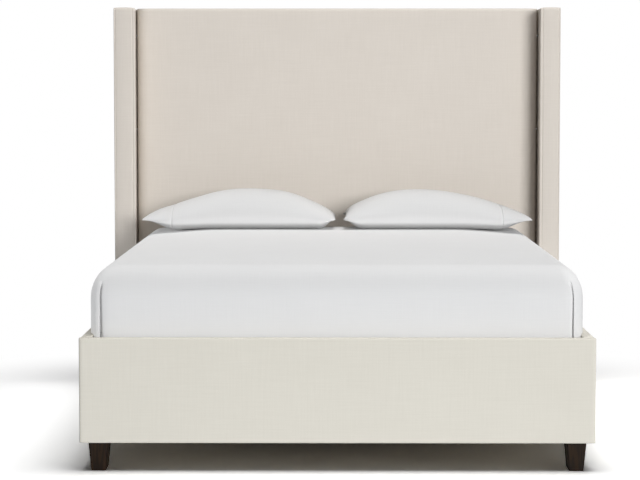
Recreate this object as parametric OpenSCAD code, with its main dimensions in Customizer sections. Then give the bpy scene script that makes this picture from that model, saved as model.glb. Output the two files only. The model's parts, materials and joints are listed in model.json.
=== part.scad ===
// Upholstered bed with a lift-up slatted deck over a storage box.
// X runs across the bed, the foot is at -Y, the headboard at +Y and Z is up.
// The origin is at the middle of the footprint, on the floor.

/* [Well inside the rails] */
// Clear width between the two side rails
well_w = 1538; // [1500:1:1580]
// Clear length from the headboard face to the footboard
well_l = 2060; // [2050:1:2110]

/* [Rails and footboard] */
// Thickness of an upholstered rail
rail_t = 34; // [30:1:44]
// Height of an upholstered rail
rail_h = 329; // [325:1:345]
// Thickness of the board inside a rail
rail_board_t = 22; // [16:1:24]
// Thickness of the upholstery fabric
skin_t = 1.5; // [1:0.5:2]
// Rounding of the rails' long edges
rail_r = 7; // [4:1:9]
// Rounding of the footboard's two ends, seen from above
foot_end_r = 11; // [6:1:14]

/* [Headboard] */
// Height of the headboard above the floor
head_h = 1524; // [1200:1:1600]
// Full thickness of the headboard panel
head_t = 95; // [90:1:110]
// Depth of the timber frame in the headboard
head_frame_t = 50; // [40:1:54]
// Thickness of the plywood face
head_ply_t = 6; // [4:1:9]
// Thickness of the back cover board
head_back_t = 3; // [3:0.5:4]
// Rounding of the panel's front top edge
head_r = 28; // [12:1:32]
// Foam over the top of the frame
head_top_foam = 18; // [13:1:24]
// Width of a frame post
post_w = 80; // [76:1:95]
// Height of a frame cross rail
cross_h = 45; // [35:1:60]
// Rounding of the panel's back top edge
head_back_r = 10; // [6:1:12]
// How far the cover turns down over the back
cover_turn = 50; // [40:1:80]
// Gap between the rails' top and the foam above them
pad_gap = 6; // [3:1:15]

/* [Wings] */
// Thickness of a wing
wing_t = 79; // [70:1:110]
// Depth of a wing from front to back
wing_d = 210; // [180:1:260]
// Foam on each side of the wing board
wing_foam = 15; // [10:1:18]
// Rounding of the wing's edges
wing_r = 12; // [9:1:22]
// Rounding of the wing's front top corner, seen from the side
wing_nose_r = 34; // [20:1:45]
// Gap between a rail and the wing outside it
wing_gap = 10; // [1:0.5:14]

/* [Legs and feet] */
// Height of a leg, and of the underside of the bed
leg_h = 89; // [75:1:130]
// Width of a leg at its top
leg_top_w = 61; // [50:1:70]
// Width of a leg at the floor
leg_low_w = 45; // [30:1:48]
// Depth of a leg at its top
leg_top_d = 110; // [90:1:130]
// Depth of a leg at the floor
leg_low_d = 100; // [60:1:110]
// Distance from the footboard's end to the leg's outer top edge
leg_side_inset = 25; // [15:1:30]
// Distance from the footboard's face to the leg's front top edge
leg_front_inset = 8; // [4:1:20]
// Radius of a centre foot's post
foot_post_r = 17; // [12:1:22]
// Radius of a centre foot at the floor
foot_base_r = 26; // [24:1:34]

/* [Storage floor] */
// Height of the cleats that carry the floor
cleat_h = 18; // [15:1:20]
// Width of a cleat
cleat_w = 20; // [15:1:30]
// Thickness of a floor panel
floor_t = 6; // [4:1:8]
// Width of a cross beam under a panel seam
beam_w = 45; // [30:1:70]
// Play between two floor panels
floor_gap = 1; // [0.6:0.2:3]

/* [Deck] */
// Width of a steel deck tube
tube_w = 25; // [20:1:30]
// Height of a steel deck tube
tube_h = 34; // [30:1:36]
// Wall of a steel deck tube
tube_wall = 1.5; // [1:0.5:3]
// Height of the deck tubes' top above the floor
tube_top = 340; // [338:1:342]
// Space between the headboard face and the deck
deck_head_gap = 22; // [20:1:26]
// Space between the deck and the footboard
deck_foot_gap = 32; // [30:1:36]
// Slats in each of the two rows
slat_count = 14; // [10:1:16]
// Width of a slat
slat_w = 53; // [38:1:60]
// Thickness of a slat
slat_t = 8; // [7:0.5:9]
// Upward bow at the middle of a slat
slat_bow = 5; // [3:0.5:5.5]
// Width of the pull strap
strap_w = 38; // [25:1:50]

/* [Lift linkage] */
// Thickness of every linkage plate
plate_t = 4; // [3.5:0.1:4]
// Space between neighbouring plates
plate_gap = 1; // [0.8:0.1:1.1]
// Lift arm pivot on the rail, distance from the headboard face
arm_base_u = 584; // [580:1:588]
// Lift arm pivot on the rail, height
arm_base_z = 274; // [271:1:276]
// Lift arm pivot on the deck, distance from the headboard face
arm_deck_u = 392; // [389:1:395]
// Lift arm pivot on the deck, height
arm_deck_z = 331; // [329:0.5:332]
// Guide link pivot on the rail, distance from the headboard face
link_base_u = 855.53; // [852:0.01:859]
// Guide link pivot on the rail, height
link_base_z = 138.04; // [136:0.01:141]
// Guide link pivot on the deck, distance from the headboard face
link_deck_u = 492; // [489:1:495]
// Guide link pivot on the deck, height
link_deck_z = 268; // [266:1:270]
// Strut pivot on the rail, distance from the headboard face
strut_base_u = 620; // [615:1:625]
// Strut pivot on the rail, height
strut_base_z = 136; // [134:1:140]
// Strut pivot on the guide link, distance from the headboard face
strut_link_u = 766; // [762:1:770]
// Strut pivot on the guide link, height
strut_link_z = 280; // [277:1:282]
// Radius of the main pivot pins
pin_r = 5; // [4:0.1:5.5]
// Radius of the strut pins
strut_pin_r = 4; // [3.5:0.1:4.4]
// Running clearance of a pin in its bore, on the radius
run_gap = 0.05; // [0.03:0.01:0.09]

/* [Gas struts] */
// Radius of the strut cylinder
strut_r = 9; // [8.5:0.1:9.5]
// Wall of the strut cylinder
strut_wall = 0.95; // [0.8:0.05:1.5]
// Radius of the strut rod
rod_r = 5; // [4:0.1:5.5]
// Distance from the strut cylinder's open end to the rod's pivot, closed
strut_nose = 33; // [31:1:40]
// Travel of the strut rod
strut_travel = 96.8; // [90:0.1:98]

/* [Bedding] */
// Space between the mattress and a side rail
bed_side_gap = 0.5; // [0.5:0.5:28]
// Space between the headboard face and the mattress
bed_head_gap = 8; // [8:1:20]
// Space between the mattress and the footboard
bed_foot_gap = 22; // [22:1:40]
// Height of the mattress with its sheet, at its edge
bed_h = 282; // [200:1:290]
// Rise of the mattress from its edge to its middle
bed_crown = 16; // [0:1:18]
// Rounding of the mattress top edge, seen along the bed, across
bed_edge_w = 80; // [50:1:110]
// Rounding of the mattress top edge, height
bed_edge_h = 105; // [70:1:120]
// Rounding of the mattress corners, seen from above
bed_corner_r = 62; // [40:1:110]
// Thickness of the sheet
sheet_t = 1.6; // [1.2:0.1:2.5]
// Length of a filled pillow
pillow_l = 738; // [680:1:745]
// Depth of a pillow
pillow_d = 450; // [400:1:480]
// Height of a pillow at its crest
pillow_h = 148; // [120:1:150]
// Distance of the pillows from the headboard face
pillow_back = 52; // [50:1:80]

/* [Hidden] */
$fn = 48;

// Gap between pieces that rest on each other
seat = 0.3;
eps = 0.01;

// Colours
linen = [0.84, 0.82, 0.77];
walnut = [0.17, 0.11, 0.08];
timber = [0.80, 0.68, 0.50];
ply = [0.76, 0.62, 0.43];
foam = [0.93, 0.88, 0.70];
steel = [0.62, 0.63, 0.65];
black_steel = [0.14, 0.14, 0.15];
white_cloth = [0.93, 0.93, 0.93];

// Main planes
half_l = (head_t + well_l + rail_t) / 2;
head_y = half_l - head_t;
foot_y = head_y - well_l;
well_half = well_w / 2;
rail_out = well_half + rail_t;
rail_top = leg_h + rail_h;
wing_in = rail_out + wing_gap;
ply_y = head_y + head_t - head_back_t - head_frame_t - head_ply_t;
frame_y = ply_y + head_ply_t;
back_y = frame_y + head_frame_t;
lining_y = ply_y - skin_t;
frame_top = head_h - skin_t - head_top_foam;
pad_low = rail_top + pad_gap;

// Foam under and over a rail's board
rail_low_foam = 6;
rail_top_foam = 8;
rail_board_low = leg_h + skin_t + rail_low_foam;
rail_board_h = rail_h - 2 * skin_t - rail_low_foam - rail_top_foam;
// Board and foam inside a rail, counted from the rail's inner face
board_in = skin_t;
board_out = skin_t + rail_board_t;

// Legs
front_leg_x = rail_out - leg_side_inset - leg_top_w / 2;
front_leg_y = -half_l + leg_front_inset + leg_top_d / 2;
rear_leg_x = wing_in + wing_t / 2;
rear_leg_y = half_l - wing_d / 2;
bolt_r = 4;
bolt_head_t = 5;
leg_bolt_in = 44;
leg_bolt_up = 16;

// Storage floor
cleat_top = leg_h + cleat_h;
floor_top = cleat_top + floor_t;
block_w = 80;
block_d = 90;
floor_head_y = lining_y - seat;
seam_step = well_l / 3;
seam_head_y = head_y - seam_step;
seam_foot_y = head_y - 2 * seam_step;

// Deck
deck_half = well_half - plate_t - 3 * (plate_t + plate_gap);
tube_in = deck_half - tube_w;
tube_low = tube_top - tube_h;
deck_head_y = head_y - deck_head_gap;
deck_foot_y = foot_y + deck_foot_gap;
slat_low = tube_top + 4;
bed_low = slat_low + slat_t + slat_bow + seat;
bed_top = bed_low + bed_h;
bed_head_y = head_y - bed_head_gap;
bed_foot_y = foot_y + bed_foot_gap;
bed_half_w = well_half - bed_side_gap;
slat_end_gap = 53;

// Linkage layers across the bed, right side
base_x = well_half - plate_t;
arm_x = base_x - plate_gap - plate_t;
link_x = arm_x - plate_gap - plate_t;
strut_x = deck_half - strut_r + 1;
function pivot(u, z) = [head_y - u, z];
arm_base = pivot(arm_base_u, arm_base_z);
arm_deck = pivot(arm_deck_u, arm_deck_z);
link_base = pivot(link_base_u, link_base_z);
link_deck = pivot(link_deck_u, link_deck_z);
strut_base = pivot(strut_base_u, strut_base_z);
strut_link = pivot(strut_link_u, strut_link_z);
strut_l = norm(strut_link - strut_base);
strut_body_l = strut_l - strut_nose;
strut_tilt = atan2(strut_base[0] - strut_link[0], strut_link[1] - strut_base[1]);
eye_t = 8;
eye_r = 9;
rod_eye_r = 13;
link_eye_r = 14;
arm_eye_r = 15;
// Play that the open pivots need while the linkage passes mid travel
link_play = [4.0, -2.4];
link_slot_r = pin_r + 1.5;
strut_play = 4.8;

// Screw places, as distance from the headboard face and height
bracket_z0 = 130;
bracket_h = 160;
bracket_leg = 43;
bracket_t = 3;
bracket_rows = [bracket_z0 + 25, bracket_z0 + 80, bracket_z0 + 135];
plate_screws = [[625, 232], [612, 182], [690, 150], [780, 150], [722, 196]];
screw_r = 2.5;
screw_head_r = 5.5;
screw_head_t = 2.5;
screw_l = 16;
screw_reach = bracket_leg - 12;

// Shared shapes

module mirrored_pair() {
  children();
  mirror([1, 0, 0]) children();
}

module rounded_rect(w, h, r) {
  translate([r, 0]) square([w - 2 * r, h]);
  translate([0, r]) square([w, h - 2 * r]);
  for (x = [r, w - r], y = [r, h - r]) translate([x, y]) circle(r = r);
}

// A drawing in the Y-Z plane made t thick from x0 towards +X
module side_plate(x0, t) {
  translate([x0, 0, 0]) rotate([90, 0, 90]) linear_extrude(t) children();
}

module pin_x(p, x0, x1, r) {
  translate([x0, p[0], p[1]]) rotate([0, 90, 0]) cylinder(h = x1 - x0, r = r);
}

module pin_y(p, y0, y1, r) {
  translate([p[0], y0, p[1]]) rotate([-90, 0, 0]) cylinder(h = y1 - y0, r = r);
}

module disc(p, r) {
  translate(p) circle(r = r);
}

// Footboard and side rails

module foot_solid(inset) {
  w = 2 * (rail_out - inset);
  t = rail_t - 2 * inset;
  intersection() {
    translate([-w / 2, -half_l + inset, leg_h + inset])
      linear_extrude(rail_h - 2 * inset) rounded_rect(w, t, foot_end_r - inset);
    translate([-w / 2, 0, 0]) rotate([90, 0, 90]) linear_extrude(w)
      translate([-half_l + inset, leg_h + inset])
        rounded_rect(t, rail_h - 2 * inset, rail_r - inset);
  }
}

module foot_board_box() {
  half = rail_out - foot_end_r;
  translate([-half, foot_y - board_out, rail_board_low])
    cube([2 * half, rail_board_t, rail_board_h]);
}

module footboard_board() {
  color(timber) difference() {
    foot_board_box();
    bracket_screw_shanks(run_gap);
  }
}

module footboard_cover() {
  color(linen) difference() {
    foot_solid(0);
    foot_solid(skin_t);
    bracket_screw_shanks(run_gap);
  }
}

module rail_section(inset) {
  translate([inset, leg_h + inset])
    rounded_rect(rail_t - 2 * inset, rail_h - 2 * inset, rail_r - inset);
}

module rail_run(y0, y1) {
  translate([well_half, y1, 0]) rotate([90, 0, 0]) linear_extrude(y1 - y0) children();
}

module rail_board_section() {
  translate([board_in, rail_board_low]) square([rail_board_t, rail_board_h]);
}

module side_rail_board() {
  color(timber) difference() {
    rail_run(foot_y, lining_y) rail_board_section();
    rail_screw_shanks(run_gap);
  }
}

module side_rail_cover() {
  color(linen) difference() {
    rail_run(foot_y, lining_y) difference() {
      rail_section(0);
      rail_section(skin_t);
    }
    rail_screw_shanks(run_gap);
  }
}

module rail_foam() {
  color(foam) {
    mirrored_pair() rail_run(foot_y, lining_y) difference() {
      rail_section(skin_t);
      rail_board_section();
    }
    difference() {
      foot_solid(skin_t);
      foot_board_box();
    }
  }
}

// Headboard

module panel_outline(inset) {
  front = head_y + inset;
  back = half_l - inset;
  top = head_h - inset;
  front_r = head_r - inset;
  back_r = head_back_r - inset;
  translate([front, pad_low + inset]) square([back - front, top - front_r - pad_low - inset]);
  translate([front + front_r, pad_low + inset])
    square([back - back_r - front - front_r, top - pad_low - inset]);
  disc([front + front_r, top - front_r], front_r);
  disc([back - back_r, top - back_r], back_r);
  translate([back - back_r, pad_low + inset]) square([back_r, top - back_r - pad_low - inset]);
}

module panel_run(half) {
  side_plate(-half, 2 * half) children();
}

module frame_member(x, z, w, h) {
  translate([x, frame_y, z]) cube([w, head_frame_t, h]);
}

module headboard_frame() {
  cross_l = 2 * (wing_in - post_w);
  lows = [leg_h, pad_low + 40, (pad_low + frame_top) / 2, frame_top - cross_h];
  color(timber) difference() {
    union() {
      mirrored_pair() frame_member(wing_in - post_w, leg_h, post_w, frame_top - leg_h);
      for (z = lows) frame_member(-cross_l / 2, z, cross_l, cross_h);
    }
    mirrored_pair() wing_bolt_shanks(run_gap);
    bracket_screw_shanks(run_gap);
  }
}

module headboard_plywood() {
  color(ply) difference() {
    translate([-wing_in, ply_y, leg_h]) cube([2 * wing_in, head_ply_t, frame_top - leg_h]);
    bracket_screw_shanks(run_gap);
  }
}

module headboard_foam() {
  color(foam) panel_run(wing_in) difference() {
    panel_outline(skin_t);
    translate([ply_y, 0]) square([back_y - ply_y, frame_top]);
    translate([back_y, 0]) square([head_t, head_h - cover_turn]);
  }
}

module headboard_cover() {
  color(linen) difference() {
    panel_run(wing_in) {
      difference() {
        panel_outline(0);
        panel_outline(skin_t);
        translate([ply_y, 0]) square([head_t, pad_low + 2 * skin_t]);
        translate([back_y - skin_t, 0]) square([head_t, head_h - cover_turn]);
      }
      translate([lining_y, leg_h]) square([skin_t, pad_low - leg_h + eps]);
    }
    bracket_screw_shanks(run_gap);
  }
}

module headboard_back_cover() {
  color(black_steel) translate([-wing_in, back_y, leg_h])
    cube([2 * wing_in, head_back_t, head_h - cover_turn - leg_h]);
}

// Wings

// Outer form of a wing, drawn in by inset
module wing_solid(inset) {
  r = wing_r - inset;
  y0 = half_l - wing_d + wing_r;
  y1 = half_l - wing_r;
  swing = wing_nose_r - wing_r;
  hull() for (x = [wing_in + wing_r, wing_in + wing_t - wing_r]) {
    for (y = [y0, y1]) translate([x, y, leg_h]) cylinder(h = 10, r = r, $fn = 24);
    translate([x, y1, head_h - wing_r]) sphere(r = r, $fn = 24);
    for (a = [0, 30, 60, 90])
      translate([x, y0 + swing * (1 - cos(a)), head_h - wing_nose_r + swing * sin(a)])
        sphere(r = r, $fn = 24);
  }
}

module wing_board_box() {
  side = skin_t + wing_foam;
  translate([wing_in + side, half_l - wing_d + side, leg_h])
    cube([wing_t - 2 * side, wing_d - 2 * side, head_h - leg_h - side]);
}

wing_bolt_rows = [leg_h + 90, pad_low + 130, (pad_low + head_h) / 2 + 60, head_h - 110];
wing_bolt_y = back_y - 30;
wing_bolt_reach = 35;

module wing_bolt_shanks(gap) {
  for (z = wing_bolt_rows)
    pin_x([wing_bolt_y, z], wing_in - post_w, wing_in + skin_t + wing_foam + wing_bolt_reach, bolt_r + gap);
}

module wing_board() {
  color(timber) difference() {
    wing_board_box();
    wing_bolt_shanks(run_gap);
    leg_bolt([rear_leg_x, rear_leg_y], run_gap);
  }
}

module wing_foam_layer() {
  color(foam) difference() {
    wing_solid(skin_t);
    wing_board_box();
    wing_bolt_shanks(run_gap);
  }
}

module wing_cover() {
  color(linen) difference() {
    wing_solid(0);
    wing_solid(skin_t);
    wing_bolt_shanks(run_gap);
  }
}

// Legs, corner blocks and their bolts

module leg_bolt(p, gap) {
  translate([p[0], p[1], leg_h - leg_bolt_in - gap])
    cylinder(h = leg_bolt_in + leg_bolt_up + gap, r = bolt_r + gap);
}

module leg_slab(w, d) {
  linear_extrude(1) translate([-w / 2, -d / 2]) rounded_rect(w, d, 2.5, $fn = 16);
}

module leg(p) {
  color(walnut) difference() {
    translate([p[0], p[1], 0]) hull() {
      leg_slab(leg_low_w, leg_low_d);
      translate([0, 0, leg_h - 1]) leg_slab(leg_top_w, leg_top_d);
    }
    leg_bolt(p, run_gap);
  }
}

module front_leg() {
  leg([front_leg_x, front_leg_y]);
}

module rear_leg() {
  leg([rear_leg_x, rear_leg_y]);
}

module frame_bolts() {
  color(steel) mirrored_pair() {
    leg_bolt([front_leg_x, front_leg_y], 0);
    leg_bolt([rear_leg_x, rear_leg_y], 0);
    wing_bolt_shanks(0);
    for (z = wing_bolt_rows)
      pin_x([wing_bolt_y, z], wing_in - post_w - bolt_head_t, wing_in - post_w, bolt_r * 2);
  }
}

module corner_blocks() {
  color(timber) mirrored_pair() difference() {
    translate([well_half - block_w, foot_y, leg_h]) cube([block_w, block_d, cleat_h]);
    leg_bolt([front_leg_x, front_leg_y], run_gap);
  }
}

// Corner brackets and screws

module bracket_at(y_face, along) {
  // along is +1 where the bracket's rail leg runs towards the headboard
  y_leg = along > 0 ? y_face : y_face - bracket_leg;
  y_wall = along > 0 ? y_face : y_face - bracket_t;
  translate([well_half - bracket_t, y_leg, bracket_z0]) cube([bracket_t, bracket_leg, bracket_h]);
  translate([well_half - bracket_leg, y_wall, bracket_z0]) cube([bracket_leg, bracket_t, bracket_h]);
}

module corner_brackets() {
  color(steel) mirrored_pair() difference() {
    union() {
      bracket_at(foot_y, 1);
      bracket_at(lining_y, -1);
    }
    rail_screw_shanks(run_gap);
    bracket_screw_shanks(run_gap);
  }
}

// Screws that run into the side rail, right side
module rail_screw_shanks(gap) {
  for (z = bracket_rows, y = [foot_y + screw_reach, lining_y - screw_reach])
    pin_x([y, z], well_half - bracket_t, well_half + screw_l, screw_r + gap);
  for (s = plate_screws)
    pin_x(pivot(s[0], s[1]), base_x, well_half + screw_l, screw_r + gap);
}

// Screws that run into the footboard and the headboard, both sides
module bracket_screw_shanks(gap) {
  mirrored_pair() for (z = bracket_rows) {
    pin_y([well_half - screw_reach, z], foot_y - screw_l, foot_y + bracket_t, screw_r + gap);
    pin_y([well_half - screw_reach, z], lining_y - bracket_t, lining_y + screw_l, screw_r + gap);
  }
}

module frame_screws() {
  x1 = well_half - screw_reach;
  color(steel) mirrored_pair() {
    rail_screw_shanks(0);
    for (z = bracket_rows) {
      for (y = [foot_y + screw_reach, lining_y - screw_reach])
        pin_x([y, z], well_half - bracket_t - screw_head_t, well_half - bracket_t, screw_head_r);
      pin_y([x1, z], foot_y + bracket_t, foot_y + bracket_t + screw_head_t, screw_head_r);
      pin_y([x1, z], lining_y - bracket_t - screw_head_t, lining_y - bracket_t, screw_head_r);
    }
    for (s = plate_screws) pin_x(pivot(s[0], s[1]), base_x - screw_head_t, base_x, screw_head_r);
  }
  color(steel) bracket_screw_shanks(0);
}

// Storage floor

module floor_cleats() {
  side_l = lining_y - foot_y - block_d;
  cross_l = 2 * (well_half - cleat_w);
  foot_l = 2 * (well_half - block_w);
  color(timber) {
    mirrored_pair() translate([well_half - cleat_w, foot_y + block_d, leg_h])
      cube([cleat_w, side_l, cleat_h]);
    translate([-cross_l / 2, lining_y - cleat_w, leg_h]) cube([cross_l, cleat_w, cleat_h]);
    translate([-foot_l / 2, foot_y, leg_h]) cube([foot_l, cleat_w, cleat_h]);
  }
}

module cross_beams() {
  l = 2 * (well_half - cleat_w);
  color(timber) for (y = [seam_head_y, seam_foot_y]) difference() {
    translate([-l / 2, y - beam_w / 2, leg_h]) cube([l, beam_w, cleat_h]);
    translate([0, y, leg_h - eps]) cylinder(h = cleat_h / 2 + eps, r = bolt_r + run_gap);
  }
}

module floor_panel(y0, y1) {
  half = well_half - seat;
  color(ply) translate([-half, y0 + floor_gap / 2, cleat_top])
    cube([2 * half, y1 - y0 - floor_gap, floor_t]);
}

module floor_panel_head() {
  floor_panel(seam_head_y, floor_head_y);
}

module floor_panel_middle() {
  floor_panel(seam_foot_y, seam_head_y);
}

module floor_panel_foot() {
  floor_panel(foot_y, seam_foot_y);
}

module centre_feet() {
  color(black_steel) for (y = [seam_head_y, seam_foot_y]) translate([0, y, 0]) {
    rotate_extrude() {
      square([foot_base_r - 2, 2]);
      translate([0, 2]) square([foot_base_r, 6]);
      polygon([[0, 8], [foot_base_r, 8], [foot_post_r, 20], [0, 20]]);
      translate([0, 20]) square([foot_post_r, leg_h - 20]);
    }
    translate([0, 0, leg_h - eps]) cylinder(h = cleat_h / 2 - seat, r = bolt_r);
  }
}

module foot_rest_cleat() {
  l = 700;
  d = deck_foot_gap + tube_w / 2;
  h = 38;
  color(timber) translate([-l / 2, foot_y, tube_low - seat - h]) cube([l, d, h]);
}

// Lift linkage, right side

module lift_base() {
  color(steel) difference() {
    side_plate(base_x, plate_t) hull() {
      disc(arm_base, 18);
      disc(link_base, 18);
      disc(strut_base, 18);
    }
    pin_x(arm_base, base_x - 1, well_half + 1, pin_r + run_gap);
    pin_x(link_base, base_x - 1, well_half + 1, pin_r + run_gap);
    pin_x(strut_base, base_x - 1, well_half + 1, strut_pin_r + run_gap);
    for (s = plate_screws) pin_x(pivot(s[0], s[1]), base_x - 1, well_half + 1, screw_r + run_gap);
  }
}

counter_t = 1.5;
counter_r = 8.4;

module base_pivot_pins() {
  side = seat / 2;
  color(black_steel) mirrored_pair() {
    // Lift arm pin, its head sunk flush in the arm
    pin_x(arm_base, arm_x + side, well_half, pin_r);
    pin_x(arm_base, arm_x + side, arm_x + counter_t - seat, counter_r - seat);
    pin_x(arm_base, base_x - plate_gap + seat, base_x, pin_r + 4);
    // Guide link pin
    pin_x(link_base, link_x - seat - 2.2, well_half, pin_r);
    pin_x(link_base, link_x - seat - 2.2, link_x - seat, pin_r + 4);
    pin_x(link_base, link_x + plate_t + seat, base_x, pin_r + 3);
    // Strut pin
    pin_x(strut_base, strut_x - eye_t / 2 - 2.5, well_half, strut_pin_r);
    pin_x(strut_base, strut_x - eye_t / 2 - 2.5, strut_x - eye_t / 2 - seat, strut_pin_r + 4);
    pin_x(strut_base, strut_x + eye_t / 2 + seat, base_x, strut_pin_r + 3);
  }
}

module lift_arm() {
  color(black_steel) difference() {
    side_plate(arm_x, plate_t) hull() {
      disc(arm_base, arm_eye_r);
      disc(arm_deck, arm_eye_r);
    }
    pin_x(arm_base, arm_x - 1, arm_x + plate_t + 1, pin_r + run_gap);
    pin_x(arm_deck, arm_x - 1, arm_x + plate_t + 1, pin_r + run_gap);
    pin_x(arm_base, arm_x - 1, arm_x + counter_t, counter_r);
    pin_x(arm_deck, arm_x + plate_t - counter_t, arm_x + plate_t + 1, counter_r);
  }
}

module guide_link() {
  mid = link_base + 0.45 * (link_deck - link_base);
  pin_in = deck_half - seat;
  color(black_steel) {
    difference() {
      side_plate(link_x, plate_t) {
        hull() {
          disc(link_base, link_eye_r);
          disc(link_deck, link_eye_r);
        }
        hull() {
          disc(link_base, link_eye_r);
          disc(strut_link, link_eye_r - 2);
          disc(mid, link_eye_r);
        }
      }
      pin_x(link_base, link_x - 1, link_x + plate_t + 1, pin_r + run_gap);
    }
    // Pin that runs in the slot of the deck bracket
    pin_x(link_deck, pin_in - 2, link_x + eps, pin_r);
    pin_x(link_deck, pin_in - 2, pin_in, pin_r + 8);
    pin_x(link_deck, deck_half + plate_t + seat, link_x + eps, pin_r + 4);
    // Pin that holds the strut rod
    pin_x(strut_link, strut_x - eye_t / 2 - 2.3, link_x + eps, strut_pin_r - 0.5);
    pin_x(strut_link, strut_x - eye_t / 2 - 2.3, strut_x - eye_t / 2 - seat, rod_eye_r - 2);
    pin_x(strut_link, strut_x + eye_t / 2 + seat, link_x + eps, rod_eye_r - 3);
  }
}

// Local axis of a strut: z runs from the rail pivot to the guide link pivot
module strut_frame() {
  translate([strut_x, strut_base[0], strut_base[1]]) rotate([strut_tilt, 0, 0]) children();
}

module eye_disc(r, t) {
  translate([-t / 2, 0, 0]) rotate([0, 90, 0]) cylinder(h = t, r = r);
}

module strut_cylinder() {
  bore = strut_r - strut_wall;
  color(black_steel) strut_frame() difference() {
    union() {
      eye_disc(eye_r, eye_t);
      translate([0, 0, 6]) cylinder(h = 12, r = 3.9);
      translate([0, 0, 16]) cylinder(h = strut_body_l - 16, r = strut_r);
    }
    eye_disc(strut_pin_r + run_gap, eye_t + 2);
    translate([0, 0, 24]) cylinder(h = strut_body_l - 24 - 6, r = bore);
    translate([0, 0, strut_body_l - 7]) cylinder(h = 8, r = rod_r + run_gap);
  }
}

module strut_rod() {
  piston_z = strut_body_l - 6 - 8 - strut_travel - 20;
  color(steel) strut_frame() {
    translate([0, 0, piston_z]) cylinder(h = 8, r = strut_r - strut_wall - run_gap);
    difference() {
      union() {
        translate([0, 0, piston_z + 8]) cylinder(h = strut_l - rod_eye_r + 1 - piston_z - 8, r = rod_r);
        translate([0, 0, strut_l]) eye_disc(rod_eye_r, eye_t);
      }
      translate([0, 0, strut_l]) eye_disc(strut_pin_r - 0.5 + strut_play, eye_t + 2);
    }
  }
}

module deck_bracket() {
  color(black_steel) {
    difference() {
      side_plate(deck_half, plate_t) hull() {
        disc(arm_deck + [40, -4], 12);
        disc(arm_deck + [0, -4], 12);
        disc(link_deck + [-30, 58], 14);
        disc(link_deck + link_play / 2, pin_r + 12);
      }
      side_plate(deck_half - 1, plate_t + 2) hull() {
        disc(link_deck, link_slot_r);
        disc(link_deck + link_play, link_slot_r);
      }
    }
    // Lift arm pin, welded to the bracket, its head sunk flush in the arm
    pin_x(arm_deck, deck_half + plate_t - eps, arm_x + plate_t - seat / 2, pin_r);
    pin_x(arm_deck, arm_x + plate_t - counter_t + seat, arm_x + plate_t - seat / 2, counter_r - seat);
    pin_x(arm_deck, deck_half + plate_t, arm_x - seat, pin_r + 3);
  }
}

// Deck

module box_tube(p, s) {
  w = tube_wall;
  translate(p) difference() {
    cube(s);
    translate([w, w, w]) cube([s[0] - 2 * w, s[1] - 2 * w, s[2] - 2 * w]);
  }
}

module deck_side() {
  color(steel) box_tube([tube_in, deck_foot_y, tube_low], [tube_w, deck_head_y - deck_foot_y, tube_h]);
}

module deck_cross(y) {
  color(steel) box_tube([-tube_in, y, tube_low], [2 * tube_in, tube_w, tube_h]);
}

module deck_head_bar() {
  deck_cross(deck_head_y - tube_w);
}

module deck_foot_bar() {
  deck_cross(deck_foot_y);
}

module deck_centre_bar() {
  l = deck_head_y - deck_foot_y - 2 * tube_w;
  color(steel) box_tube([-tube_w / 2, deck_foot_y + tube_w, tube_low], [tube_w, l, tube_h]);
}

slat_first = deck_head_y - slat_end_gap;
slat_step = (deck_head_y - deck_foot_y - 2 * slat_end_gap) / (slat_count - 1);
holder_t = 4;
holder_in = 26;
slat_x0 = tube_w / 2 + 4 - 10;
slat_x1 = tube_in + 16;

module slat_strip() {
  n = 8;
  l = slat_x1 - slat_x0;
  low = [for (i = [0 : n]) [slat_x0 + l * i / n, 4 * slat_bow * (i / n) * (1 - i / n)]];
  high = [for (i = [n : -1 : 0]) [low[i][0], low[i][1] + slat_t]];
  polygon(concat(low, high));
}

module slat_row() {
  color(timber) for (i = [0 : slat_count - 1])
    translate([0, slat_first - i * slat_step + slat_w / 2, slat_low])
      rotate([90, 0, 0]) linear_extrude(slat_w) slat_strip();
}

module holder(x0, x1, y) {
  w = slat_w + 2 * holder_t;
  h = slat_low + slat_t + holder_t / 2 - tube_top;
  translate([x0, y - w / 2, tube_top]) cube([x1 - x0, w, h]);
}

module slat_pocket(x0, x1, y) {
  translate([x0, y - slat_w / 2 - seat, slat_low - seat])
    cube([x1 - x0, slat_w + 2 * seat, slat_t + 2 * seat + 0.6]);
}

module slat_holders() {
  inner = slat_x0 - seat;
  color(black_steel) for (i = [0 : slat_count - 1]) {
    y = slat_first - i * slat_step;
    mirrored_pair() difference() {
      holder(slat_x1 - holder_in, slat_x1 + holder_t, y);
      slat_pocket(slat_x1 - holder_in - 1, slat_x1 + seat, y);
    }
    difference() {
      holder(-tube_w / 2 - 8, tube_w / 2 + 8, y);
      mirrored_pair() slat_pocket(inner, inner + holder_in, y);
    }
  }
}

stop_r = 3;
stop_w = 180;
stop_x = 260;
stop_z = 402;

module stop_hoop(x) {
  z0 = tube_top - 10;
  y1 = bed_foot_y - stop_r - 1;
  for (s = [-1, 1]) {
    pin_y([x + s * stop_w / 2, z0], y1, deck_foot_y, stop_r);
    translate([x + s * stop_w / 2, y1, z0]) cylinder(h = stop_z - z0, r = stop_r);
    translate([x + s * stop_w / 2, y1, z0]) sphere(r = stop_r);
    translate([x + s * stop_w / 2, y1, stop_z]) sphere(r = stop_r);
  }
  pin_x([y1, stop_z], x - stop_w / 2, x + stop_w / 2, stop_r);
}

module mattress_stops() {
  color(steel) for (x = [-stop_x, stop_x]) stop_hoop(x);
}

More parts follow.
